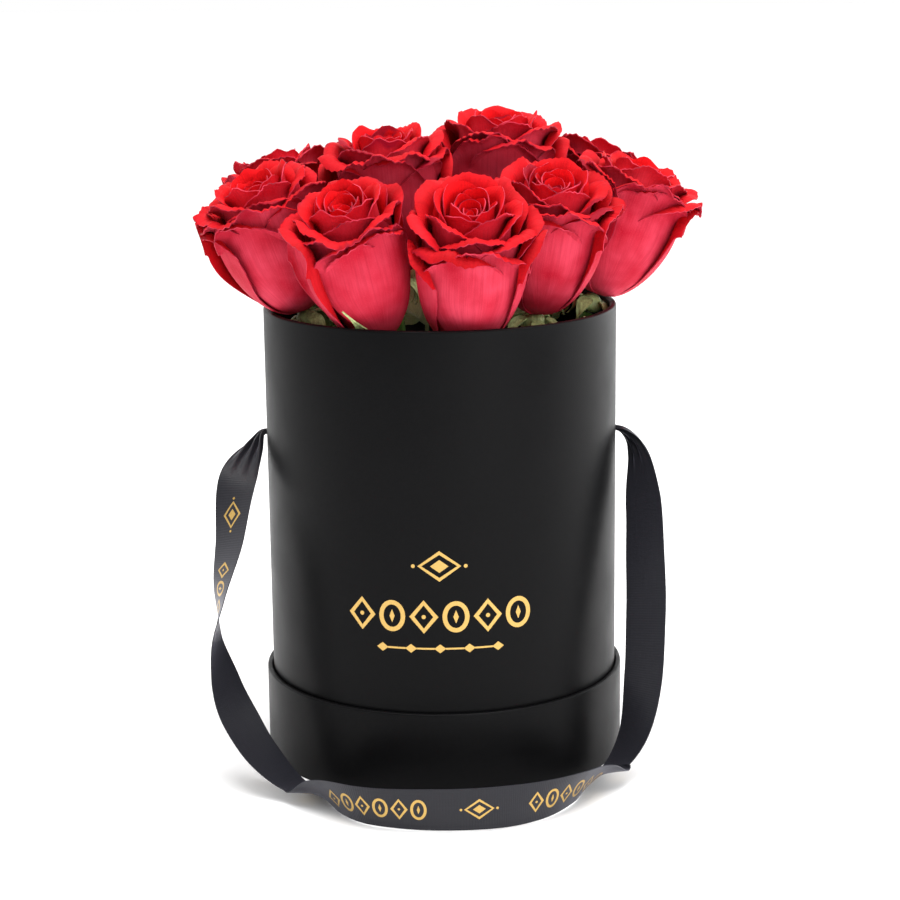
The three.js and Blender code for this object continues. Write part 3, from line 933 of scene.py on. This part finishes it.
def knot_points(around, along):
    """A flattened overhand knot in the plane across X: a thick strand along a three-lobed loop."""
    turn = math.pi * along
    loop = np.stack([-1.45 * np.sin(3 * turn), np.sin(turn) + 2 * np.sin(2 * turn),
                     np.cos(turn) - 2 * np.cos(2 * turn)], 1)
    ahead = np.stack([-4.35 * np.cos(3 * turn), np.cos(turn) + 4 * np.cos(2 * turn),
                      -np.sin(turn) + 4 * np.sin(2 * turn)], 1)
    ahead = unit(ahead)
    side = unit(np.cross(ahead, np.tile([1.0, 0, 0], (len(turn), 1))))
    up = np.cross(side, ahead)
    round_way = math.pi * around
    pleat = 1 + 0.1 * np.sin(6 * round_way + 2 * turn)
    loop = loop * [1.0, 1.85, 1.85]
    return (loop + side * (2.0 * pleat * np.cos(round_way))[:, None]
            + up * (1.7 * pleat * np.sin(round_way))[:, None]) * MM


class FLOWERBOX_OT_knots(Operator):
    """Ties the knots that hold the ribbon behind the tube's wall"""
    bl_idname = "flowerbox.knots"
    bl_label = "Knots"

    def execute(self, context):
        for side, node in (("left", "knot_left"), ("right", "knot_right")):
            low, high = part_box(node)
            piece = grid(f"knot_tied_{side}", 20, 160)
            flat = points_of(piece.data)
            points = knot_points(flat[:, 0], flat[:, 1])
            span = points.max(0) - points.min(0)
            fit = np.minimum(np.array(high - low) / span, 1.0)
            place_points(piece.data, points * fit + np.array((low + high) / 2))
            edit(piece, lambda: weld(0.00002), face_out)
            smooth(piece, 60)
            settle(piece, "handle", "black_satin", [node])
        return {"FINISHED"}


# ---------------------------------------------------------------- roses


ROSES = range(1, 12)
STEM_SIDES = 20


class Rose:
    """Where a rose stands: the middle of its head's base, its axis, radius and height."""

    def __init__(self, number):
        self.number = number
        self.body = f"rose_{number}"
        joint = next(j for j in frame["joints"] if j["name"] == f"rose_{number}_pull")
        self.axis = np.array(Vector(joint["axis"]).normalized())
        points = points_of(frame["nodes"][f"rose_{number}_head"].data)
        along = points @ self.axis
        self.base = points[along < along.min() + 0.2 * MM].mean(0)
        off = points - self.base
        heights = off @ self.axis
        self.height = heights.max()
        self.radius = np.linalg.norm(off - heights[:, None] * self.axis, axis=1).max()
        side = np.array([1.0, 0, 0]) - self.axis * self.axis[0]
        side /= np.linalg.norm(side)
        self.turn = np.stack([side, np.cross(self.axis, side), self.axis])

    def place(self, points):
        return points @ self.turn + self.base

    def middle_at(self, heights):
        return self.base + self.axis * ((heights - self.base[2]) / self.axis[2])[:, None]


def make_room(points, rose, others):
    """Presses petals back where they would pass into a neighbouring rose."""
    for other in others:
        here, there = rose.middle_at(points[:, 2]), other.middle_at(points[:, 2])
        apart = (there - here) * [1, 1, 0]
        distance = np.linalg.norm(apart, axis=1)
        if distance.min() > 3 * (rose.radius + other.radius):
            continue
        toward = apart / distance[:, None]
        share = rose.radius / (rose.radius + other.radius)
        soft = 4 * MM
        limit = distance * share - 0.3 * MM - soft
        past = np.maximum(np.sum((points - here) * toward, axis=1) - limit, 0)
        pressed = soft * (1 - np.exp(-past / soft))
        top = other.base[2] + other.height * other.axis[2]
        weight = ease((top + 5 * MM - points[:, 2]) / (9 * MM))
        points = points + toward * ((pressed - past) * weight)[:, None]
    return points


def envelope(share):
    """A head's girth at a share of its height: narrow at the base, full from a third up."""
    rise = np.sin(np.pi / 2 * np.clip(share / 0.6, 0, 1)) ** 0.55
    return 0.2 + 0.8 * rise


def petal_points(u, v, petal, rose):
    """One petal in its head's frame: u from edge to edge (-1..1), v from base (0) to tip (1)."""
    rng = random.Random(petal["seed"])
    phases = [rng.uniform(0, 6.28) for _ in range(6)]
    wave = (np.sin(3.1 * u + phases[0]) + 0.6 * np.sin(6.3 * u + phases[1]) + 0.35 * np.sin(11 * u + phases[2])
            + 0.16 * np.sin(23 * u + phases[3]))
    sway = (np.sin(2.3 * u + phases[3]) + 0.5 * np.sin(5.2 * u + phases[4]))
    edge = np.abs(u)
    tip = petal["tip"] * np.exp(-((u - 0.1 * math.sin(phases[5])) / 0.16) ** 2)
    nicks = np.sin(19 * u + phases[4]) * np.sin(33 * u + phases[5]) * np.clip(1.3 - edge, 0, 1)
    top = petal["top"] * (1 - petal["drop"] * edge ** 2.6) + tip + petal["nick"] * nicks
    lip = petal["lip"] * (1 - 0.5 * edge ** 3)
    held = (1 - petal["free"]) * edge ** 2.2
    curl = petal["curl"] * (0.85 + 0.3 * np.sin(np.pi * edge) + 0.1 * sway) * (1 - 0.9 * held)
    curl = np.maximum(curl, 0.05)
    shoulder = top - lip / curl * np.sin(np.minimum(curl, np.pi / 2))
    split = petal["split"]
    rise = np.clip(v / split, 0, 1) ** 1.25
    z = shoulder * rise
    share = z / rose.height
    closing = 1 - petal["close"] * ease((share - 0.4) / 0.6)
    flare = 1 + petal["flare"] * np.clip((share - 0.55) / 0.45, 0, 1.2) ** 2
    radius = petal["body"] * envelope(share) * closing * flare
    half = petal["width"] * (0.3 + 0.7 * ease(share / 0.5))
    start = petal["roll_from"]
    far = np.clip((edge - start) / (1 - start), 0, 1)
    bend = np.maximum(petal["roll"] * far * ease(share / 0.6), 1e-4)
    reach = half * (1 - start) * far
    sideways = half * np.minimum(edge, start) + reach * np.sin(bend) / bend
    outward = reach * (1 - np.cos(bend)) / bend
    turn = petal["turn"] + np.sign(u) * sideways / np.maximum(radius, 2.0 * MM)
    past = np.clip((v - split) / (1 - split), 0, 1)
    radius = radius + outward + 0.4 * MM * u + lip / curl * (1 - np.cos(curl * past))
    z = z + lip / curl * np.sin(curl * past)
    z = z + petal["ruffle"] * wave * past ** 2
    radius = radius + petal["ruffle"] * sway * past
    return np.stack([radius * np.cos(turn), radius * np.sin(turn), z], 1)


# How each rose differs: how open it is, how far its lips turn back, how far its rim rises at the
# back and falls in front (mm), how much taller it is (mm), and its guard petals as (direction in
# degrees, half width, height share, roll of its sides).
ROSE_LOOKS = {
    1: {"open": 1.3, "curl": 0.95, "tilt": 2.5, "rise": 1,
        "guards": [(266, 25, 0.84, 0.2), (190, 20, 0.8, 0.4), (150, 18, 0.84, 1.2)]},
    2: {"open": 0.9, "curl": 0.85, "tilt": 4, "rise": 2, "guards": [(292, 25, 0.86, 0.3), (205, 17, 0.9, 2.6)]},
    3: {"open": 1.05, "curl": 1.0, "tilt": 5, "rise": 2,
        "guards": [(278, 24, 0.8, 0.2), (200, 16, 0.74, 0.3), (350, 16, 0.8, 1.0)]},
    4: {"open": 1.2, "curl": 0.85, "tilt": 3.5, "rise": 2,
        "guards": [(276, 23, 0.86, 0.2), (215, 16, 0.84, 1.2), (345, 17, 0.86, 1.6)]},
    5: {"open": 1.3, "curl": 0.9, "tilt": 2, "rise": 1,
        "guards": [(285, 25, 0.86, 0.2), (222, 16, 0.84, 0.6), (355, 18, 0.82, 1.3)]},
    6: {"open": 1.5, "rise": 3}, 7: {"tilt": 3, "rise": 2}, 8: {"tilt": 3, "rise": 3},
    9: {"open": 1.3, "rise": 5},
}
PLAIN_LOOK = {"open": 1.15, "curl": 0.95, "tilt": 0, "rise": 0,
              "guards": [(262, 22, 0.86, 0.4), (20, 19, 0.84, 0.9), (140, 19, 0.84, 0.8)]}


def rose_petals(rose):
    """The numbers of every petal of one rose, from the heart out."""
    look = PLAIN_LOOK | ROSE_LOOKS.get(rose.number, {})
    rng = random.Random(100 + rose.number)
    count = sizes().petals
    first = rng.uniform(0, 6.28)
    petals = []
    for index in range(count):
        age = index / (count - 1)
        turn = first + index * GOLDEN_TURN + rng.uniform(-0.15, 0.15)
        lift = look["rise"] + look["tilt"] * math.sin(turn) * (0.35 + 0.65 * age)
        tall = 0.84 + 0.14 * math.sin(math.pi / 2 * min(1, 1.7 * age)) - 0.4 * max(0, age - 0.6)
        petals.append({
            "turn": turn,
            "body": rose.radius * (0.07 + 0.82 * age ** 0.85),
            "top": rose.height * tall + (rng.uniform(-0.4, 0.4) + lift) * MM,
            "width": (7 + 17 * age ** 0.7) * MM,
            "close": 0.5 * (1 - age) ** 1.3,
            "flare": 0.14 * look["open"] * float(ease(age * 1.4 - 0.4)),
            "lip": (2.4 + 8 * float(ease((age - 0.3) / 0.6))) * MM,
            "curl": look["curl"] * math.radians(12 + 125 * float(ease((age - 0.35) / 0.6)))
            * rng.uniform(0.9, 1.1),
            "roll": 0.1, "roll_from": 0.7, "free": 0.15,
            "ruffle": (0.25 + 0.6 * age) * MM,
            "tip": (0.4 + 1.4 * age) * MM, "nick": (0.2 + 0.7 * age) * MM,
            "drop": 0.2 + 0.06 * age,
            "split": 0.75 - 0.12 * age,
            "age": age,
            "seed": 1000 * rose.number + index,
        })
    for index, (turn, width, top, roll) in enumerate(look["guards"]):
        petals.append({
            "turn": math.radians(turn), "body": rose.radius * (0.93 + 0.03 * index),
            "top": rose.height * top, "width": width * MM, "close": 0.0, "flare": 0.04, "lip": 9 * MM,
            "curl": math.radians(115) * look["curl"], "roll": roll, "roll_from": 0.55, "free": 0.8,
            "ruffle": 0.9 * MM, "tip": 2.2 * MM, "nick": 1 * MM, "drop": 0.26, "split": 0.62, "age": 1.0,
            "seed": 1000 * rose.number + 500 + index,
        })
    return petals


class FLOWERBOX_OT_rose_heads(Operator):
    """Builds each rose head petal by petal, from the tight heart to the turned-back guard petals"""
    bl_idname = "flowerbox.rose_heads"
    bl_label = "Rose Heads"

    def execute(self, context):
        roses = [Rose(number) for number in ROSES]
        outer_cut, inner_cut = grid("outer_petal", 36, 28), grid("inner_petal", 22, 20)
        for rose in roses:
            others = [other for other in roses if other is not rose]
            petals = []
            for index, petal in enumerate(rose_petals(rose)):
                cut = outer_cut if petal["age"] > 0.6 else inner_cut
                piece = copy_of(cut, f"petal_{index}")
                flat = points_of(cut.data)
                points = rose.place(petal_points(flat[:, 0], (flat[:, 1] + 1) / 2, petal, rose))
                place_points(piece.data, make_room(points, rose, others))
                marks = {"petal_tint": random.Random(petal["seed"]).uniform(0, 1), "petal_age": petal["age"]}
                for name, value in marks.items():
                    mark = piece.data.attributes.new(name, "FLOAT", "POINT")
                    mark.data.foreach_set("value", np.full(len(points), value))
                petals.append(piece)
            head = joined(petals, f"rose_bloom_{rose.number}")
            head.data.materials.clear()
            for name in ("petal_back", "petal_face", "petal_rim"):
                head.data.materials.append(finish(name))
            modify(head, "SOLIDIFY", thickness=sizes().petal, offset=-1.0, material_offset=1,
                   material_offset_rim=2)
            smooth(head, 60)
            settle(head, rose.body, None, [f"rose_{rose.number}_head"])
        bpy.data.objects.remove(outer_cut)
        bpy.data.objects.remove(inner_cut)
        return {"FINISHED"}


def sepal_points(u, v, turn, up, length, rose):
    """A slim pointed sepal: up along the petals, or turned back towards the stem."""
    half = 3.1 * MM * (1 - v) ** 0.8 * (0.55 + 0.9 * np.sin(np.pi * np.clip(v * 1.2, 0, 1)))
    if up:
        z = -3 * MM + length * v
        radius = rose.radius * envelope(z / rose.height) + MM * (0.4 + 3 * np.clip(v - 0.6, 0, 1))
        turn = turn - 0.25 * v ** 2
    else:
        bend = 2.4 * v
        z = -3 * MM + length / 2.4 * (np.cos(bend) - 1) * 0.8
        radius = 5 * MM + length / 2.4 * np.sin(bend) * 0.8
    sideways = turn + u * half / np.maximum(radius, 4 * MM)
    radius = radius + 0.5 * MM * u ** 2
    return np.stack([radius * np.cos(sideways), radius * np.sin(sideways), z], 1)


class FLOWERBOX_OT_rose_greens(Operator):
    """Adds each rose's calyx with five sepals, and its stem with a few thorns"""
    bl_idname = "flowerbox.rose_greens"
    bl_label = "Calyxes and Stems"

    def execute(self, context):
        sepal_cut = grid("sepal_cut", 6, 14)
        for number in ROSES:
            self.calyx(Rose(number), sepal_cut)
            self.stem(Rose(number))
        bpy.data.objects.remove(sepal_cut)
        return {"FINISHED"}

    def calyx(self, rose, sepal_cut):
        clear_selection()
        bpy.ops.mesh.primitive_uv_sphere_add(segments=24, ring_count=14, radius=1)
        cup = fresh("cup")
        ball = points_of(cup.data)
        girth = 5.3 * (1 - 0.18 * ball[:, 2])
        shaped = np.stack([ball[:, 0] * girth, ball[:, 1] * girth, -4.9 + 4.4 * ball[:, 2]], 1) * MM
        place_points(cup.data, rose.place(shaped))
        pieces = [cup]
        for index in range(5):
            piece = copy_of(sepal_cut, f"sepal_{index}")
            flat = points_of(sepal_cut.data)
            up = rose.number == 2 and index == 0
            turn = math.radians(262 + 72 * index + (0 if rose.number == 2 else 40 * rose.number))
            shape = sepal_points(flat[:, 0], (flat[:, 1] + 1) / 2, turn, up, (26 if up else 20) * MM, rose)
            place_points(piece.data, rose.place(shape))
            modify(piece, "SOLIDIFY", thickness=0.6 * MM, offset=0.0)
            pieces.append(piece)
        calyx = joined(pieces, f"calyx_{rose.number}_sepals")
        edit(calyx, lambda: weld(0.000005))
        smooth(calyx, 50)
        settle(calyx, rose.body, "calyx_skin", [f"rose_{rose.number}_calyx"])

    def stem(self, rose):
        node = f"rose_{rose.number}_stem"
        points = points_of(frame["nodes"][node].data)
        heights = (points - rose.base) @ rose.axis
        top, bottom = heights.max(), heights.min()
        rings = [(2.9 * MM, top), (2.45 * MM, top - 4 * MM), (2.35 * MM, (top + bottom) / 2),
                 (2.4 * MM, bottom + 2 * MM), (2.1 * MM, bottom)]
        rod = drawn_out("rod", rings, STEM_SIDES, face_out, fill="NGON")
        place_points(rod.data, rose.place(points_of(rod.data)))
        pieces = [rod]
        for index in range(2):
            clear_selection()
            bpy.ops.mesh.primitive_cone_add(vertices=10, radius1=1, depth=1)
            thorn = fresh("thorn")
            shape = points_of(thorn.data)
            up = np.clip(shape[:, 2] + 0.5, 0, 1)
            turn = 2.4 * index + rose.number
            out = np.array([math.cos(turn), math.sin(turn), 0])
            side = np.array([-out[1], out[0], 0])
            height = top - (9 + 11 * index) * MM
            body = (out * (2.0 + 3.4 * up)[:, None] + side * (0.7 * shape[:, 0])[:, None]
                    + np.array([0, 0, 1.0]) * (1.7 * shape[:, 1] - 1.4 * up)[:, None]) * MM
            place_points(thorn.data, rose.place(body + [0, 0, height]))
            pieces.append(thorn)
        stem = joined(pieces, f"stem_{rose.number}_cut")
        smooth(stem, 40)
        settle(stem, rose.body, "stem_skin", [node])


# ---------------------------------------------------------------- leaves


def leaflet_points(u, v, seed, length, half_width, stalk):
    """A leaflet on its stalk: x across, y outwards, z up; folded along its midrib and arched."""
    rng = random.Random(seed)
    blade = np.clip((v - stalk) / (1 - stalk), 0, 1)
    outline = np.sin(np.pi * blade ** 0.8) ** 0.75 * (1 - 0.15 * blade)
    teeth = 1 + 0.05 * np.sin(34 * blade)
    half = 0.9 * MM + np.where(v < stalk, 0, half_width * outline * teeth)
    lean = rng.uniform(-1, 3) * MM
    arch = lean * blade ** 1.5 - 1 * MM * np.sin(np.pi * blade)
    fold = rng.uniform(0.2, 0.5) * np.abs(u) * half
    twist = rng.uniform(-0.5, 0.5) * blade
    x = u * half * np.cos(twist)
    y = arch + fold + u * half * np.sin(twist)
    return np.stack([x, y, length * v], 1)


# A rose leaf's leaflets: height of its foot on the stalk, slant from upright in degrees, length,
# half width and the share of it that is bare stalk.
LEAFLETS = [(0, 0, 50.6, 9, 0.45), (33, 57, 27, 7, 0.15), (31, -54, 27, 7, 0.15)]
LEAVES = range(1, 9)
BACK_STRETCH = 1.42  # end leaflets behind the roses stand taller
WALL_ROOM = 2.2 * MM


class FLOWERBOX_OT_leaves(Operator):
    """Sets pale rose leaves round the rim, each of three leaflets folded and arched its own way"""
    bl_idname = "flowerbox.leaves"
    bl_label = "Leaves"

    def execute(self, context):
        cut = grid("leaf_cut", 16, 40)
        flat = points_of(cut.data)
        rim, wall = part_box("box_wrap")[1].z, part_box("box_lining")[1].x - WALL_ROOM
        for number in LEAVES:
            low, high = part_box(f"leaf_{number}")
            middle = (low + high) / 2
            angle, reach = math.atan2(middle.y, middle.x), math.hypot(middle.x, middle.y)
            leaflets = []
            for index, (foot, slant, length, half, stalk) in enumerate(LEAFLETS):
                piece = copy_of(cut, f"leaflet_{index}")
                stretch = 1 if index or middle.y < 0 else BACK_STRETCH
                shape = leaflet_points(flat[:, 0], (flat[:, 1] + 1) / 2, 40 + 10 * number + index,
                                       length * stretch * MM, half * MM, stalk)
                turn = math.radians(slant)
                across = shape[:, 0] * math.cos(turn) + shape[:, 2] * math.sin(turn)
                z = low.z + foot * MM + shape[:, 2] * math.cos(turn) - shape[:, 0] * math.sin(turn)
                out = reach + shape[:, 1] - 0.7 * MM * index
                out = np.where(z < rim + 1.5 * MM, np.minimum(out, wall - 0.8 * MM * index), out)
                way = angle - across / reach
                place_points(piece.data, np.stack([out * np.cos(way), out * np.sin(way), z], 1))
                modify(piece, "SOLIDIFY", thickness=0.55 * MM, offset=0.0)
                leaflets.append(piece)
            leaf = joined(leaflets, f"leaf_blade_{number}")
            smooth(leaf, 50)
            settle(leaf, "insert", "leaf_skin", [f"leaf_{number}"])
        bpy.data.objects.remove(cut)
        return {"FINISHED"}


# ---------------------------------------------------------------- stage


def soft_light(name, place, target, width, height, power):
    light = bpy.data.lights.new(name, "AREA")
    light.shape = "RECTANGLE"
    light.size, light.size_y = width, height
    light.energy = power
    lamp = bpy.data.objects.new(name, light)
    bpy.context.collection.objects.link(lamp)
    lamp.location = place
    lamp.rotation_euler = (Vector(target) - Vector(place)).to_track_quat("-Z", "Y").to_euler()


LENS, SHIFT = 88.055, (0.00926, 0.01331)
CAMERA_PLACE, CAMERA_PITCH, CAMERA_ROLL = (0, -0.99105, 0.36139), 0.225902, -0.0124932
SKY_STRENGTH = 1.45
# Each light: name, place, where it points, width, height and power.
SOFTBOXES = [
    ("top_softbox", (0.1, -0.2, 1.5), (0, 0, 0.2), 1.2, 1.2, 25),
    ("front_softbox", (0.9, -1.55, 0.6), (0, 0, 0.22), 1.2, 0.9, 12),
    ("side_softbox", (1.5, 0.1, 0.5), (0, 0, 0.15), 0.7, 1.2, 5),
    ("rim_softbox", (1.07, 0.9, 0.3), (0, 0, 0.12), 1.0, 0.5, 4.5),
]


class FLOWERBOX_OT_stage(Operator):
    """Sets the camera, the white card and the soft lights"""
    bl_idname = "flowerbox.stage"
    bl_label = "Stage"

    def execute(self, context):
        self.camera(context)
        self.floor()
        self.lights(context)
        return {"FINISHED"}

    def camera(self, context):
        data = bpy.data.cameras.new("camera")
        data.lens = LENS
        data.shift_x, data.shift_y = SHIFT
        camera = bpy.data.objects.new("camera", data)
        context.collection.objects.link(camera)
        camera.matrix_world = (Matrix.Translation(CAMERA_PLACE)
                               @ Matrix.Rotation(math.pi / 2 - CAMERA_PITCH, 4, "X")
                               @ Matrix.Rotation(CAMERA_ROLL, 4, "Z"))
        context.scene.camera = camera

    def floor(self):
        clear_selection()
        bpy.ops.mesh.primitive_plane_add(size=30)
        floor = fresh("background_card")
        floor.data.materials.append(finish("floor_paint"))

    def lights(self, context):
        world = bpy.data.worlds.new("studio")
        context.scene.world = world
        world.use_nodes = True
        tree = world.node_tree
        tree.nodes.clear()
        seen = add_node(tree, "ShaderNodeLightPath").outputs["Is Camera Ray"]
        toward = add_node(tree, "ShaderNodeSeparateXYZ",
                          {"Vector": add_node(tree, "ShaderNodeTexCoord").outputs["Generated"]}).outputs["Y"]
        sky = ramp_of(tree, spread_of(tree, toward, -1.0, 1.0), [(0.2, "#8C8C8C"), (0.5, "#FFFFFF")])
        glow = add_node(tree, "ShaderNodeBackground", {"Color": sky, "Strength": SKY_STRENGTH})
        white = add_node(tree, "ShaderNodeBackground", {"Color": (1, 1, 1, 1), "Strength": 1.0})
        both = add_node(tree, "ShaderNodeMixShader", {0: seen, 1: glow.outputs[0], 2: white.outputs[0]})
        add_node(tree, "ShaderNodeOutputWorld", {"Surface": both.outputs[0]})
        for name, place, target, width, height, power in SOFTBOXES:
            soft_light(name, place, target, width, height, power)
        context.scene.view_settings.view_transform = "Standard"


# ---------------------------------------------------------------- panel and main


OPERATORS = [
    FLOWERBOX_OT_stage, FLOWERBOX_OT_tube_paper, FLOWERBOX_OT_tray_paper, FLOWERBOX_OT_boards,
    FLOWERBOX_OT_tube_foil, FLOWERBOX_OT_knots, FLOWERBOX_OT_ribbon, FLOWERBOX_OT_ribbon_foil,
    FLOWERBOX_OT_rose_heads, FLOWERBOX_OT_rose_greens, FLOWERBOX_OT_leaves,
]


class FLOWERBOX_PT_panel(Panel):
    """Lists the steps that build the flower box"""
    bl_idname = "FLOWERBOX_PT_panel"
    bl_label = "Flower Box"
    bl_space_type = "VIEW_3D"
    bl_region_type = "UI"
    bl_category = "Flower Box"

    def draw(self, context):
        for settings in (context.scene.flower_box_sizes, context.scene.flower_box_colours):
            for name in settings.__annotations__:
                self.layout.prop(settings, name)
        for operator in OPERATORS:
            self.layout.operator(operator.bl_idname)


CLASSES = [FlowerBoxSizes, FlowerBoxColours, *OPERATORS, FLOWERBOX_PT_panel]


def register():
    for kind in CLASSES:
        bpy.utils.register_class(kind)
    bpy.types.Scene.flower_box_sizes = PointerProperty(type=FlowerBoxSizes)
    bpy.types.Scene.flower_box_colours = PointerProperty(type=FlowerBoxColours)


def unregister():
    del bpy.types.Scene.flower_box_colours
    del bpy.types.Scene.flower_box_sizes
    for kind in reversed(CLASSES):
        bpy.utils.unregister_class(kind)


def main():
    register()
    for operator in OPERATORS:
        group, name = operator.bl_idname.split(".")
        getattr(getattr(bpy.ops, group), name)()


if __name__ == "__main__":
    main()
